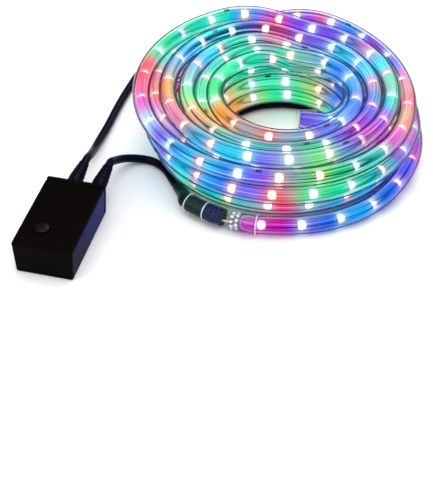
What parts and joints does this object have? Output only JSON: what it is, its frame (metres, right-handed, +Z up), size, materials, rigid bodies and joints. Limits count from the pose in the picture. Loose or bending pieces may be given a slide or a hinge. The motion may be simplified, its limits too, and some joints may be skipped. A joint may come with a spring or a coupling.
{
  "type": "led rope light",
  "caption": "Lit multicolour LED rope light wound into a flat open coil, with a push-button controller box, clear rope connector, end cap and a mains lead with a two-pin plug.",
  "frame": {"origin": "on the floor, under the middle of the box that the coil, the connector and the controller fill together", "axes": "+Z up; +X and +Y level, with the camera of the picture looking along +Y and the mains lead's slack behind the coil at +Y"},
  "size_m": [0.2865, 0.3079, 0.0593],
  "materials": {
    "clear_rope": "clear soft PVC over lit lamps of four colours",
    "clear_plastic": "clear moulded plastic, glossy",
    "black_case": "black moulded plastic, satin",
    "black_button": "black moulded plastic, semi-gloss",
    "black_rubber": "black soft PVC, satin",
    "black_lead": "black PVC jacket with a navy sheen, semi-gloss",
    "bright_metal": "plated brass, bright"
  },
  "bodies": {
    "light": {"rope_coil": "clear_rope", "rope_end_cap": "clear_plastic", "connector_sleeve": "clear_plastic", "rope_socket": "clear_plastic", "lead_plug": "black_rubber", "pin_block": "black_case", "contact_pin_front": "bright_metal", "contact_pin_back": "bright_metal", "controller_housing": "black_case", "controller_end": "black_case", "mains_relief": "black_rubber", "rope_relief": "black_rubber", "mains_lead": "black_lead", "rope_lead": "black_lead", "mains_plug": "black_rubber", "plug_pin_near": "bright_metal", "plug_pin_far": "bright_metal"},
    "button": {"mode_button": "black_button"}
  },
  "joints": [
    {"name": "button_press", "type": "slide", "parent": "light", "child": "button", "axis": [0, 0, -1], "range_m": [0, 0.0012], "stiffness_N_per_m": 1500}
  ]
}
